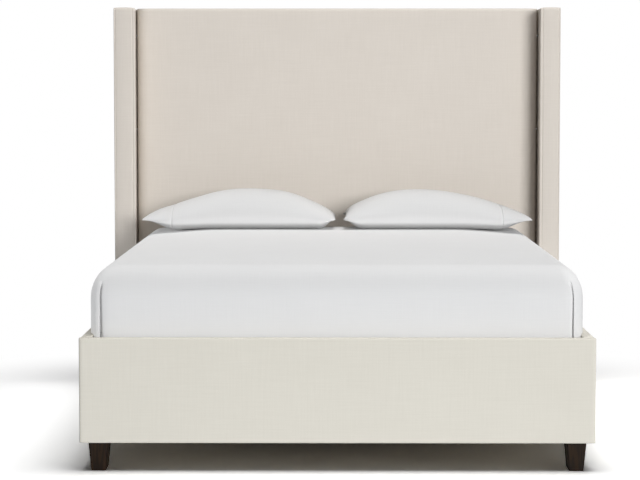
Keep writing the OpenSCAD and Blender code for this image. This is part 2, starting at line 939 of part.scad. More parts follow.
// Webbing tab on the foot bar, turned up in front of the mattress
module pull_strap() {
  t = 2.4;
  y0 = deck_foot_y;
  y1 = bed_foot_y - seat;
  low = tube_low + 6;
  side = [[0, low], [0, tube_top - 3], [y1 - y0, bed_low - 2], [y1 - y0, stop_z]];
  outline = concat([for (p = side) [y0 + p[0] - t, p[1]]],
    [for (i = [3 : -1 : 0]) [y0 + side[i][0], side[i][1]]]);
  color(black_steel) side_plate(-strap_w / 2, strap_w) polygon(outline);
}

// Bedding

side_n = 4;
corner_n = 7;

// Plan of the mattress, drawn in by inset, as a ring of points at height z
function bed_ring(inset, z) =
  let (hw = bed_half_w - inset, y0 = bed_foot_y + inset, y1 = bed_head_y - inset,
       r = max(bed_corner_r - inset / 2, 12),
       c = [[hw - r, y1 - r, 0], [-hw + r, y1 - r, 90], [-hw + r, y0 + r, 180], [hw - r, y0 + r, 270]])
  [for (k = [0 : 3]) each concat(
    [for (i = [0 : corner_n]) let (a = c[k][2] + 90 * i / corner_n)
      [c[k][0] + r * cos(a), c[k][1] + r * sin(a), z]],
    [for (i = [1 : side_n - 1]) let (a = c[k][2] + 90, n = c[(k + 1) % 4],
      p = [c[k][0] + r * cos(a), c[k][1] + r * sin(a)], q = [n[0] + r * cos(a), n[1] + r * sin(a)])
      [p[0] + (q[0] - p[0]) * i / side_n, p[1] + (q[1] - p[1]) * i / side_n, z]])];

// Profile of the mattress: how far each height is drawn in
function bed_profile(thin) =
  let (low = bed_low + thin, edge_z = bed_top - bed_edge_h)
  concat(
    [[9 + thin, low], [3 + thin, low + 10], [2 + thin, low + 40]],
    [for (i = [1 : 2]) [2 * (1 - i / 2) + thin, low + 40 + (edge_z - low - 40) * i / 2]],
    [for (i = [1 : 7]) let (a = 90 * i / 7)
      [bed_edge_w * (1 - cos(a)) + thin, edge_z + (bed_edge_h - thin) * sin(a) - (i == 7 ? 1 : 0)]],
    [for (r = [[55, 0.4], [115, 0.75], [220, 1]])
      [bed_edge_w + r[0] + thin, bed_top + bed_crown * r[1] - thin]]);

module bed_form(thin) {
  prof = bed_profile(thin);
  rings = [for (p = prof) bed_ring(p[0], p[1])];
  n = len(rings[0]);
  m = len(rings);
  mid_y = (bed_foot_y + bed_head_y) / 2;
  pts = concat([for (r = rings) each r], [[0, mid_y, prof[0][1]], [0, mid_y, prof[m - 1][1]]]);
  sides = [for (j = [0 : m - 2], i = [0 : n - 1]) let (k = (i + 1) % n)
    [j * n + i, (j + 1) * n + i, (j + 1) * n + k, j * n + k]];
  tris = [for (f = sides) each [[f[0], f[1], f[2]], [f[0], f[2], f[3]]]];
  caps = [for (i = [0 : n - 1]) let (k = (i + 1) % n, top = (m - 1) * n)
    each [[m * n, i, k], [m * n + 1, top + k, top + i]]];
  polyhedron(pts, concat(tris, caps), convexity = 4);
}

module mattress() {
  color(white_cloth) bed_form(sheet_t);
}

module fitted_sheet() {
  hem = 140;
  color(white_cloth) difference() {
    bed_form(0);
    bed_form(sheet_t);
    translate([-bed_half_w + hem, bed_foot_y + hem, bed_low - 5])
      cube([2 * (bed_half_w - hem), bed_head_y - bed_foot_y - 2 * hem, 5 + sheet_t + 2]);
  }
}

pillow_nx = 24;
pillow_ny = 14;
pillow_draw = 0.055;

// Thickness of the pillow between 0 at its seam and 1 at its crest.
// a runs along it from the open end at -1 to the closed end at 1, b across it.
function swell(a, b) =
  (a < 0 ? pow(1 - pow(-a, 1.6), 0.95) : pow(1 - pow(a, 2.6), 0.85)) * pow(1 - pow(abs(b), 2.8), 0.5);

function pillow_point(i, j, up) =
  let (a = -1 + 2 * i / pillow_nx, b = -1 + 2 * j / pillow_ny, s = swell(a, b),
       x = pillow_l / 2 * a * (1 - pillow_draw * (1 - b * b) * pow(abs(a), 3)),
       y = pillow_d / 2 * b * (1 - pillow_draw * (1 - a * a) * pow(abs(b), 3)),
       seam = pillow_h * 0.34)
  [x, y, up ? seam + (pillow_h - seam) * s : seam * (1 - min(s * 1.7, 1))];

module pillow_form() {
  nx = pillow_nx;
  ny = pillow_ny;
  w = ny + 1;
  top = [for (i = [0 : nx], j = [0 : ny]) pillow_point(i, j, true)];
  low = [for (i = [0 : nx], j = [0 : ny]) pillow_point(i, j, false)];
  n = len(top);
  edge = function(i, j) i == 0 || i == nx || j == 0 || j == ny;
  // The seam is shared: the lower face uses the upper face's edge points
  id = function(i, j, up) (up || edge(i, j)) ? i * w + j : n + i * w + j;
  // Each cell is split along the diagonal that points at the nearest corner
  faces = [for (i = [0 : nx - 1], j = [0 : ny - 1], up = [true, false])
    let (c = [id(i, j, up), id(i, j + 1, up), id(i + 1, j + 1, up), id(i + 1, j, up)],
         f = (i < nx / 2) == (j < ny / 2) ? [[c[0], c[1], c[2]], [c[0], c[2], c[3]]]
           : [[c[0], c[1], c[3]], [c[1], c[2], c[3]]])
    each up ? f : [for (t = f) [t[0], t[2], t[1]]]];
  polyhedron(concat(top, low), faces, convexity = 4);
}

pillow_gap = 30;
pillow_x = (pillow_l + pillow_gap) / 2;

// Left pillow, its open end outwards
module pillow() {
  color(white_cloth)
    translate([-pillow_x, head_y - pillow_back - pillow_d / 2, bed_top + bed_crown + seat])
    pillow_form();
}

footboard_board();
footboard_cover();
mirror([1, 0, 0]) side_rail_board();  // side_rail_board_left
side_rail_board();  // side_rail_board_right
mirror([1, 0, 0]) side_rail_cover();  // side_rail_cover_left
side_rail_cover();  // side_rail_cover_right
rail_foam();
headboard_frame();
headboard_plywood();
headboard_foam();
headboard_cover();
headboard_back_cover();
mirror([1, 0, 0]) wing_board();  // wing_board_left
wing_board();  // wing_board_right
mirror([1, 0, 0]) wing_foam_layer();  // wing_foam_left
wing_foam_layer();  // wing_foam_right
mirror([1, 0, 0]) wing_cover();  // wing_cover_left
wing_cover();  // wing_cover_right
mirror([1, 0, 0]) front_leg();  // front_leg_left
front_leg();  // front_leg_right
mirror([1, 0, 0]) rear_leg();  // rear_leg_left
rear_leg();  // rear_leg_right
frame_bolts();
corner_blocks();
corner_brackets();
frame_screws();
floor_cleats();
cross_beams();
floor_panel_head();
floor_panel_middle();
floor_panel_foot();
centre_feet();
foot_rest_cleat();
mirror([1, 0, 0]) lift_base();  // lift_base_left
lift_base();  // lift_base_right
base_pivot_pins();
mirror([1, 0, 0]) lift_arm();  // lift_arm_left
lift_arm();  // lift_arm_right
mirror([1, 0, 0]) guide_link();  // guide_link_left
guide_link();  // guide_link_right
mirror([1, 0, 0]) strut_cylinder();  // strut_cylinder_left
strut_cylinder();  // strut_cylinder_right
mirror([1, 0, 0]) strut_rod();  // strut_rod_left
strut_rod();  // strut_rod_right
mirror([1, 0, 0]) deck_bracket();  // deck_bracket_left
deck_bracket();  // deck_bracket_right
mirror([1, 0, 0]) deck_side();  // deck_side_left
deck_side();  // deck_side_right
deck_head_bar();
deck_foot_bar();
deck_centre_bar();
mirror([1, 0, 0]) slat_row();  // slats_left
slat_row();  // slats_right
slat_holders();
mattress_stops();
pull_strap();
mattress();
fitted_sheet();
pillow();  // pillow_left
mirror([1, 0, 0]) pillow();  // pillow_right
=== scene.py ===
"""Upholstered bed whose slatted deck lifts over a storage box.

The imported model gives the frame, the boards, the deck and the lift linkage. This script adds the
covers and foam, the mattress in its fitted sheet, the pillows in their cases, the finishes, the
light and the camera. Lengths are in metres, X across the bed, Y towards the headboard, Z up.
"""

import json
import math

import bmesh
import bpy
import numpy as np
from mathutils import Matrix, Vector


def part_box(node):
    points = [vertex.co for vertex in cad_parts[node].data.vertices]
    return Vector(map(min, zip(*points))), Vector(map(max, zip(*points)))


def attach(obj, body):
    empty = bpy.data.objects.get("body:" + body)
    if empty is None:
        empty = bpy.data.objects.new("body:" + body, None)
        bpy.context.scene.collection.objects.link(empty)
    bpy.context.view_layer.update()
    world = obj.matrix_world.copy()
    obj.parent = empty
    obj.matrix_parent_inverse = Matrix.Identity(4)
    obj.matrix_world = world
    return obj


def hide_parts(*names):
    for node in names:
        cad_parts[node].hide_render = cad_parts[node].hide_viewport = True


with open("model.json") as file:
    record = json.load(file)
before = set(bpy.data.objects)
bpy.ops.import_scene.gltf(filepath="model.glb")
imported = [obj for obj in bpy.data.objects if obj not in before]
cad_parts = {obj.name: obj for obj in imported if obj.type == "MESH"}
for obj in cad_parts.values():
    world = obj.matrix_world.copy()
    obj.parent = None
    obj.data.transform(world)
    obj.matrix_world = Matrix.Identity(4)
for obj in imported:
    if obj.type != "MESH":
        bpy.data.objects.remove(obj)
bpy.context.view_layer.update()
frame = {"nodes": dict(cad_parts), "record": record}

MM = 0.001

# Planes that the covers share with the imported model
RAIL_LOW, RAIL_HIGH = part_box("side_rail_cover_right")
FOOT_LOW, FOOT_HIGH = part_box("footboard_cover")
WING_LOW, WING_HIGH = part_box("wing_cover_right")
PANEL_LOW, PANEL_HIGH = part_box("headboard_cover")
BED_LOW, BED_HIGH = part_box("fitted_sheet")
PILLOW_LOW, PILLOW_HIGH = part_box("pillow_left")
UNDERSIDE, RAIL_TOP = RAIL_LOW.z, RAIL_HIGH.z
LINING_Y = RAIL_HIGH.y

# Thickness of the sewn covers, and how far inside their outer faces the foam lies
COVER_T = 1.2 * MM
FOAM_GAP = 1.7 * MM


# Camera


def set_camera():
    """The photograph's view: a long lens, square to the footboard and a little above it."""
    looks_down, looks_left = 0.068, 0.00716
    lens = bpy.data.cameras.new("camera")
    lens.sensor_width, lens.lens, lens.clip_end = 36, 119.475, 60
    camera = bpy.data.objects.new("camera", lens)
    camera.location = (-0.0067, -7.6605, 1.172)
    camera.rotation_euler = (math.pi / 2 - looks_down, 0, looks_left)
    bpy.context.scene.collection.objects.link(camera)
    bpy.context.scene.camera = camera


# Shader nodes


def add(tree, kind, **settings):
    node = tree.nodes.new(kind)
    for name, value in settings.items():
        setattr(node, name, value)
    return node


def feed(tree, socket, value):
    """Link value to socket if it is a socket, and set it there otherwise."""
    if isinstance(value, bpy.types.NodeSocket):
        tree.links.new(value, socket)
    else:
        socket.default_value = value


def calc(tree, operation, *values):
    node = add(tree, "ShaderNodeMath", operation=operation)
    for socket, value in zip(node.inputs, values):
        feed(tree, socket, value)
    return node.outputs[0]


def between(tree, factor, first, second):
    """first where factor is 0 and second where it is 1, for plain numbers."""
    return calc(tree, "MULTIPLY_ADD", factor, calc(tree, "SUBTRACT", second, first), first)


def mapped(tree, value, low, high, to_low=0.0, to_high=1.0, kind="LINEAR"):
    node = add(tree, "ShaderNodeMapRange", interpolation_type=kind)
    for label, number in (("Value", value), ("From Min", low), ("From Max", high)):
        feed(tree, node.inputs[label], number)
    node.inputs["To Min"].default_value, node.inputs["To Max"].default_value = to_low, to_high
    return node.outputs[0]


def mixed(tree, factor, first, second):
    """A colour between first and second."""
    node = add(tree, "ShaderNodeMix", data_type="RGBA")
    feed(tree, node.inputs[0], factor)
    node.inputs[6].default_value = (*first, 1)
    node.inputs[7].default_value = (*second, 1)
    return node.outputs[2]


def point(tree, x, y, z=0.0):
    node = add(tree, "ShaderNodeCombineXYZ")
    for socket, value in zip(node.inputs, (x, y, z)):
        feed(tree, socket, value)
    return node.outputs[0]


def split(tree, vector):
    node = add(tree, "ShaderNodeSeparateXYZ")
    tree.links.new(vector, node.inputs[0])
    return node.outputs


def noise(tree, vector, scale=1.0, detail=2.0, roughness=0.5):
    node = add(tree, "ShaderNodeTexNoise")
    feed(tree, node.inputs["Vector"], vector)
    feed(tree, node.inputs["Scale"], scale)
    node.inputs["Detail"].default_value = detail
    node.inputs["Roughness"].default_value = roughness
    return node.outputs["Fac"]


def face_axes(tree):
    """Two coordinates that lie along whichever face the surface belongs to, in metres."""
    place = add(tree, "ShaderNodeTexCoord")
    x, y, z = split(tree, place.outputs["Object"])
    nx, ny, nz = [calc(tree, "ABSOLUTE", n) for n in split(tree, place.outputs["Normal"])]
    is_top = calc(tree, "GREATER_THAN", nz, calc(tree, "MAXIMUM", nx, ny))
    not_top = calc(tree, "SUBTRACT", 1.0, is_top)
    is_side = calc(tree, "MULTIPLY", calc(tree, "GREATER_THAN", nx, ny), not_top)
    return between(tree, is_side, x, y), between(tree, is_top, z, y)


def new_group(name, inputs):
    """A shader group with the named number inputs, and the outputs Height and Tone."""
    group = bpy.data.node_groups.new(name, "ShaderNodeTree")
    for label, value in inputs.items():
        socket = group.interface.new_socket(
            name=label, in_out="INPUT", socket_type="NodeSocketFloat"
        )
        socket.default_value = value
    for label in ("Height", "Tone"):
        group.interface.new_socket(name=label, in_out="OUTPUT", socket_type="NodeSocketFloat")
    given = group.nodes.new("NodeGroupInput")
    return group, {label: given.outputs[label] for label in inputs}


def put_out(group, height, tone):
    result = group.nodes.new("NodeGroupOutput")
    feed(group, result.inputs["Height"], height)
    feed(group, result.inputs["Tone"], tone)
    return group


def weave_group():
    """Plain weave: threads go over and under each other, and some are thicker or darker."""
    group, given = new_group("plain_weave", {"Thread": 0.0012, "Slub": 0.5, "Patch": 0.5})

    def of(operation, *values):
        return calc(group, operation, *values)

    u, v = face_axes(group)
    across, along = [of("DIVIDE", w, given["Thread"]) for w in (u, v)]
    warp_no, weft_no = of("FLOOR", across), of("FLOOR", along)
    parity = of("COSINE", of("MULTIPLY", of("ADD", warp_no, weft_no), math.pi))

    def thread(side, run, sign):
        body = of("ABSOLUTE", of("SINE", of("MULTIPLY", side, math.pi)))
        phase = of("MULTIPLY", of("SUBTRACT", of("FRACT", run), 0.5), math.pi)
        over = of("MULTIPLY", parity, of("COSINE", phase))
        return of("MULTIPLY", body, of("MULTIPLY_ADD", over, 0.5 * sign, 0.5))

    def streaks(long_way, short_way, seed):
        spot = point(group, of("MULTIPLY", long_way, 7.0), of("MULTIPLY", short_way, 190.0), seed)
        return noise(group, spot)

    warp, weft = thread(across, along, 1), thread(along, across, -1)
    height = of("MAXIMUM", warp, weft)
    spot = point(group, of("MULTIPLY", warp_no, 0.37), of("MULTIPLY", v, 9.0))
    warp_tone = noise(group, spot, 1.0, 1.0)
    spot = point(group, of("MULTIPLY", u, 9.0), of("MULTIPLY", weft_no, 0.37), 7.0)
    weft_tone = noise(group, spot, 1.0, 1.0)
    thread_tone = between(group, of("GREATER_THAN", weft, warp), warp_tone, weft_tone)
    # Thicker yarns show as faint lines of a few millimetres, both ways
    lines = of("MULTIPLY", of("ADD", streaks(u, v, 0.0), streaks(v, u, 3.0)), 0.5)
    patch = noise(group, point(group, u, v, 5.0), 5.0, 2.0)
    tone = between(group, given["Slub"], thread_tone, lines)
    tone = between(group, of("MULTIPLY", given["Patch"], 0.5), tone, patch)
    return put_out(group, of("MULTIPLY_ADD", lines, 0.6, height), tone)


def knit_group():
    """Knitted ticking: small loops in rows."""
    group, given = new_group("knit", {"Loop": 0.002, "Slub": 0.3})
    u, v = face_axes(group)
    across, along = [calc(group, "DIVIDE", w, given["Loop"]) for w in (u, v)]
    bend = calc(group, "ABSOLUTE", calc(group, "SINE", calc(group, "MULTIPLY", across, math.pi)))
    run = calc(group, "MULTIPLY_ADD", bend, 0.6, along)
    rows = calc(group, "SINE", calc(group, "MULTIPLY", run, 2 * math.pi))
    height = calc(group, "MULTIPLY_ADD", rows, 0.5, 0.5)
    cloud = noise(group, point(group, u, v), 22.0, 3.0)
    tone = between(group, given["Slub"], calc(group, "MULTIPLY_ADD", height, 0.4, 0.3), cloud)
    return put_out(group, height, tone)


def grain_group():
    """Wood grain that runs along one axis: long fibres, wider figure and open pores."""
    labels = ("Along X", "Along Y", "Along Z")
    group, given = new_group("wood_grain", {**dict.fromkeys(labels, 0.0), "Figure": 0.5})
    place = add(group, "ShaderNodeTexCoord")
    axes = split(group, place.outputs["Object"])
    shares = [mapped(group, given[label], 0.0, 1.0, 1.0, 0.04) for label in labels]
    stretched = [calc(group, "MULTIPLY", axis, share) for axis, share in zip(axes, shares)]
    spot = point(group, *stretched)
    fibre = noise(group, spot, 420.0, 3.0, 0.6)
    figure = noise(group, spot, 34.0, 2.0, 0.5)
    waves = calc(group, "SINE", calc(group, "MULTIPLY", figure, 42.0))
    bands = calc(group, "MULTIPLY_ADD", waves, 0.5, 0.5)
    pores = calc(group, "SMOOTH_MIN", calc(group, "MULTIPLY", fibre, 2.0), 0.9, 0.3)
    return put_out(group, pores, between(group, given["Figure"], fibre, bands))


def speckle_group():
    """An even fine surface, such as powder coat, moulded plastic, foam or ground steel."""
    group, given = new_group("fine_surface", {"Grain": 900.0, "Cloud": 14.0, "Stretch": 1.0})
    u, v = face_axes(group)
    spot = point(group, u, calc(group, "MULTIPLY", v, given["Stretch"]))
    fine = noise(group, spot, given["Grain"], 2.0, 0.6)
    cloud = noise(group, spot, given["Cloud"], 3.0, 0.5)
    return put_out(group, fine, between(group, 0.5, fine, cloud))


GROUPS = {
    "weave": weave_group(),
    "knit": knit_group(),
    "grain": grain_group(),
    "speckle": speckle_group(),
}


def finish(name, group, dark, light, rough, depth, inputs, strength=0.5, **plain):
    """A material whose colour and roughness run between two values with a group's Tone."""
    material = bpy.data.materials.new(name)
    material.use_nodes = True
    tree = material.node_tree
    shader = tree.nodes["Principled BSDF"]
    surface = add(tree, "ShaderNodeGroup", node_tree=GROUPS[group])
    for label, value in inputs.items():
        surface.inputs[label].default_value = value
    tone = surface.outputs["Tone"]
    colour = mixed(tree, mapped(tree, tone, 0.3, 0.7), dark, light)
    tree.links.new(colour, shader.inputs["Base Color"])
    tree.links.new(mapped(tree, tone, 0.0, 1.0, *rough), shader.inputs["Roughness"])
    bump = add(tree, "ShaderNodeBump")
    bump.inputs["Strength"].default_value = strength
    bump.inputs["Distance"].default_value = depth
    tree.links.new(surface.outputs["Height"], bump.inputs["Height"])
    tree.links.new(bump.outputs[0], shader.inputs["Normal"])
    for label, value in plain.items():
        shader.inputs[label.replace("_", " ")].default_value = value
    return material


def make_finishes():
    """Every finish: two colours, the range of roughness, the depth of the relief in millimetres,
    the values of its group and the plain values of its shader."""
    pine = ((0.58, 0.45, 0.29), (0.72, 0.59, 0.41), (0.55, 0.75), 0.2)
    x_way, y_way, z_way = {"Along X": 1.0}, {"Along Y": 1.0}, {"Along Z": 1.0}
    wood = {
        "leg_wood": (
            (0.0065, 0.0030, 0.0011), (0.0165, 0.0080, 0.0030), (0.45, 0.6), 0.12,
            {**z_way, "Figure": 0.6}, dict(strength=0.4, Specular_IOR_Level=0.12),
        ),
        "timber_across": (*pine, x_way, {}),
        "timber_along": (*pine, y_way, {}),
        "timber_up": (*pine, z_way, {}),
        "plywood": (
            (0.60, 0.51, 0.38), (0.73, 0.64, 0.50), (0.5, 0.7), 0.15,
            {**x_way, "Figure": 0.75}, {},
        ),
        "beech_slat": (
            (0.50, 0.33, 0.18), (0.68, 0.49, 0.30), (0.35, 0.5), 0.1,
            {**x_way, "Figure": 0.25}, dict(strength=0.4, Coat_Weight=0.25),
        ),
    }
    linen = (0.82, 0.95), 0.35, dict(Thread=1.3 * MM, Slub=0.6, Patch=0.35), dict(strength=0.6)
    cotton = (0.75, 0.9), 0.1, dict(Thread=0.45 * MM, Slub=0.3, Patch=0.4), dict(strength=0.4)
    cloth = {
        # The headboard's linen is made darker and the rails' linen lighter than one shared linen:
        # painted shade on the headboard and wings, and painted light on the footboard and rails.
        # Besides that, the two differ slightly in hue
        "headboard_linen_painted_shade": ((0.630, 0.580, 0.522), (0.690, 0.640, 0.582), *linen),
        "rail_linen_painted_light": ((0.710, 0.680, 0.600), (0.770, 0.740, 0.660), *linen),
        "white_cotton": ((0.765, 0.765, 0.765), (0.82, 0.82, 0.82), *cotton),
        # The pillow cases' cotton is the sheet's white cotton made darker: painted shade that dims
        # the pillows
        "pillow_cotton_painted_shade": ((0.69, 0.69, 0.69), (0.74, 0.74, 0.74), *cotton),
        "webbing": (
            (0.012, 0.012, 0.014), (0.035, 0.035, 0.038), (0.6, 0.8), 0.4,
            dict(Thread=1.6 * MM), {},
        ),
    }
    fine = {
        "foam": ((0.70, 0.60, 0.36), (0.84, 0.76, 0.52), (0.9, 1.0), 0.5, dict(Grain=500.0), {}),
        "back_lining": (
            (0.016, 0.016, 0.018), (0.04, 0.04, 0.043), (0.8, 0.95), 0.25,
            dict(Grain=700.0), {},
        ),
        "bright_steel": (
            (0.42, 0.43, 0.45), (0.58, 0.59, 0.60), (0.28, 0.42), 0.05,
            dict(Grain=600.0, Stretch=0.1), dict(strength=0.3, Metallic=1.0),
        ),
        "rod_steel": (
            (0.62, 0.63, 0.65), (0.72, 0.73, 0.75), (0.1, 0.2), 0.02,
            dict(Grain=900.0), dict(strength=0.2, Metallic=1.0),
        ),
        "black_steel": (
            (0.018, 0.018, 0.02), (0.035, 0.035, 0.038), (0.38, 0.55), 0.1,
            dict(Grain=1400.0), {},
        ),
        "deck_steel": (
            (0.035, 0.035, 0.037), (0.06, 0.06, 0.063), (0.42, 0.6), 0.12,
            dict(Grain=1100.0), {},
        ),
        "black_plastic": (
            (0.02, 0.02, 0.022), (0.038, 0.038, 0.04), (0.45, 0.65), 0.12,
            dict(Grain=1800.0), {},
        ),
    }
    knit = {
        "mattress_ticking": ((0.70, 0.70, 0.68), (0.82, 0.82, 0.80), (0.8, 0.95), 0.4, {}, {}),
    }
    made = {}
    for group, table in (("grain", wood), ("weave", cloth), ("speckle", fine), ("knit", knit)):
        for name, (dark, light, rough, depth, inputs, plain) in table.items():
            made[name] = finish(name, group, dark, light, rough, depth * MM, inputs, **plain)
    return made


# Mesh building


def piece(name, points, faces, material, body, slot):
    """A smooth mesh object that rides on a CAD body and takes the given material; slot is not used.
    """
    mesh = bpy.data.meshes.new(name)
    plain_points = [tuple(map(float, p)) for p in points]
    mesh.from_pydata(plain_points, [], [tuple(map(int, f)) for f in faces])
    built = bmesh.new()
    built.from_mesh(mesh)
    bmesh.ops.remove_doubles(built, verts=built.verts, dist=0.02 * MM)
    built.to_mesh(mesh)
    built.free()
    mesh.validate()
    mesh.materials.append(material)
    mesh.shade_smooth()
    thing = bpy.data.objects.new(name, mesh)
    bpy.context.scene.collection.objects.link(thing)
    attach(thing, body)
    return thing


def thicken(thing, thickness):
    solid = thing.modifiers.new("thickness", "SOLIDIFY")
    solid.thickness = thickness
    solid.offset = -1.0


def smooth_step(value):
    value = np.clip(value, 0, 1)
    return value * value * (3 - 2 * value)


def grid_faces(rows, columns, ring=False, flip=False):
    """Quads of a grid stored row by row; with ring, each row closes on itself."""
    faces = []
    for j in range(rows - 1):
        for i in range(columns if ring else columns - 1):
            k = (i + 1) % columns
            row, above = j * columns, (j + 1) * columns
            quad = (row + i, row + k, above + k, above + i)
            faces.append(quad[::-1] if flip else quad)
    return faces


def spaced(low, high, pitch, radius=0.0, extra=()):
    """Grid lines from low to high, by even angles over the rounded ends and about pitch apart
    between them. extra adds more lines."""
    turns = (45, 36, 27, 18, 9, 0)
    arc = [radius * (1 - math.tan(math.radians(a))) for a in turns] if radius else [0.0]
    count = max(2, round((high - low - 2 * radius) / pitch) + 1)
    inner = np.linspace(low + radius, high - radius, count)
    lines = sorted([low + a for a in arc] + list(inner) + [high - a for a in arc] + list(extra))
    kept = [lines[0]]
    for value in lines[1:]:
        if value - kept[-1] > 0.1 * MM:
            kept.append(value)
    return kept


def box_shell(xs, ys, zs, leave_out=()):
    """A grid over the faces of a box, with shared points at its edges."""
    numbers, points, faces = {}, [], []

    def number(i, j, k):
        if (i, j, k) not in numbers:
            numbers[(i, j, k)] = len(points)
            points.append((xs[i], ys[j], zs[k]))
        return numbers[(i, j, k)]

    sizes = (len(xs), len(ys), len(zs))
    for axis in range(3):
        a, b = [n for n in range(3) if n != axis]
        for end in (0, 1):
            if (axis, end) in leave_out:
                continue
            for p in range(sizes[a] - 1):
                for q in range(sizes[b] - 1):
                    corners = []
                    for dp, dq in ((0, 0), (1, 0), (1, 1), (0, 1)):
                        at = [0, 0, 0]
                        at[axis] = end * (sizes[axis] - 1)
                        at[a], at[b] = p + dp, q + dq
                        corners.append(number(*at))
                    outward = (end == 1) == (axis != 1)
                    faces.append(corners if outward else corners[::-1])
    return np.array(points, float), faces


def rounded(points, low, high, r, inset=0.0, wider=()):
    """Round the edges of a box grid by r. Each entry of wider is (axis a, axis b, extra radius,
    side of a, side of b) and adds to the rounding of one edge, seen along the third axis."""
    low, high = np.array(low, float), np.array(high, float)
    core = np.clip(points, low + r, high - r)
    for a, b, extra, side_a, side_b in wider:
        corner_a = (high[a] - r - extra) if side_a > 0 else (low[a] + r + extra)
        corner_b = (high[b] - r - extra) if side_b > 0 else (low[b] + r + extra)
        to_a, to_b = (core[:, a] - corner_a) * side_a, (core[:, b] - corner_b) * side_b
        inside = (to_a > 0) & (to_b > 0)
        out_a, out_b = (points[:, a] - corner_a) * side_a, (points[:, b] - corner_b) * side_b
        length = np.maximum(np.hypot(out_a, out_b), 1e-9)
        core[inside, a] = (corner_a + side_a * extra * out_a / length)[inside]
        core[inside, b] = (corner_b + side_b * extra * out_b / length)[inside]
    away = points - core
    normal = away / np.maximum(np.linalg.norm(away, axis=1, keepdims=True), 1e-9)
    return core + normal * (r - inset), normal


def groove(distance, width, depth):
    """A sewn seam: a narrow valley where distance from its line is small."""
    return -depth * np.exp(-((distance / width) ** 2))


def mirrored(points, faces):
    return points * np.array([-1, 1, 1]), [f[::-1] for f in faces]


# Covers and foam


def wing(side, finishes):
    """Cover and foam of one wing. Its front band is domed, and is sewn to the sides in a seam that
    runs up along each corner and back over the top. Behind the band its inner side stands clear of
    the panel. The foam lies inside the cover and is pressed in along the front and the top."""
    r, nose, dome = 3.5 * MM, 4 * MM, 3.0 * MM
    seam_width, seam_depth, pressed = 1.5 * MM, 2.2 * MM, 2.3 * MM
    panel_gap, back_gap = 7.5 * MM, 5 * MM
    low, high = np.array(WING_LOW), np.array(WING_HIGH)
    low[0] += (-2.5 if side == "left" else 2.0) * MM
    high[0] += 3.7 * MM
    beside_panel = WING_LOW.x + panel_gap - low[0]
    inner_seam, outer_seam = low[0] + 10 * MM, high[0] - 6 * MM
    beside_seams = [s + d * MM for s in (inner_seam, outer_seam) for d in range(-3, 4)]
    xs = spaced(low[0], high[0], 6 * MM, r, beside_seams)
    ys = spaced(low[1], high[1], 14 * MM, r, [low[1] + d * MM for d in (12, 16, 20, 25, 30)])
    top_lines = [high[2] - d * MM for d in (12, 16, 20, 25, 30, 36)]
    zs = spaced(low[2], high[2], 24 * MM, r, top_lines)
    zs = [low[2]] + [z for z in zs if z > low[2] + 12 * MM]
    grid, faces = box_shell(xs, ys, zs, leave_out=[(2, 0)])
    open_low = low - np.array([0, 0, r])

    def form(inset, sewn):
        shape, normal = rounded(grid, open_low, high, r, inset, [(1, 2, nose, -1, 1)])
        inner_side = np.clip(1 - (shape[:, 0] - low[0]) / (40 * MM), 0, 1)
        behind_corner = smooth_step((shape[:, 1] - low[1] - 6 * MM) / (85 * MM))
        at_back = smooth_step((shape[:, 1] - high[1] + 35 * MM) / (35 * MM))
        shape[:, 0] += inner_side * (beside_panel * behind_corner - back_gap * at_back)
        half = (high[0] - low[0]) / 2
        off_middle = np.clip((shape[:, 0] - low[0]) / half - 1, -1, 1)
        if sewn:
            strip = np.clip(-normal[:, 1], 0, 1) ** 2 + np.clip(normal[:, 2], 0, 1) ** 2
            inner, outer = [
                groove(shape[:, 0] - seam, seam_width, seam_depth)
                for seam in (inner_seam, outer_seam)
            ]
            shape = shape + normal * ((inner + outer) * np.clip(strip, 0, 1))[:, None]
        else:
            from_front = shape[:, 1] - low[1] - inset
            shape[:, 1] += pressed * np.clip(1 - from_front / (10 * MM), 0, 1)
            from_top = high[2] - inset - shape[:, 2]
            shape[:, 2] -= pressed * np.clip(1 - from_top / (10 * MM), 0, 1)
        near_front = np.clip(1 - (shape[:, 1] - low[1]) / (40 * MM), 0, 1)
        front = near_front * smooth_step((high[2] + 0.02 - shape[:, 2]) / 0.03)
        shape[:, 1] += dome * off_middle**2 * front
        near_top = smooth_step((shape[:, 2] - high[2] + 0.05) / 0.05)
        inside_seam = smooth_step((inner_seam - shape[:, 0]) / (7 * MM))
        shape[:, 2] -= near_top * (1.0 * MM * off_middle**2 + 1.5 * MM * inside_seam)
        return shape

    for name, inset, thickness, slot in (
        (f"wing_cover_{side}_sewn", 0.0, COVER_T, "linen"),
        (f"wing_foam_{side}_layer", FOAM_GAP, 6 * MM, "foam"),
    ):
        shape, quads = form(inset, slot == "linen"), faces
        if side == "left":
            shape, quads = mirrored(shape, quads)
        look = finishes["headboard_linen_painted_shade" if slot == "linen" else slot]
        made = piece(name, shape, quads, look, "base", slot)
        thicken(made, thickness)
        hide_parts(name.rsplit("_", 1)[0])


def arc(centre_y, centre_z, r, start, end, count):
    """Points of an arc in the YZ plane, each with the direction that it faces."""
    points = []
    for a in np.radians(np.linspace(start, end, count)):
        y, z = math.cos(a), math.sin(a)
        points.append((centre_y + r * y, centre_z + r * z, y, z))
    return points


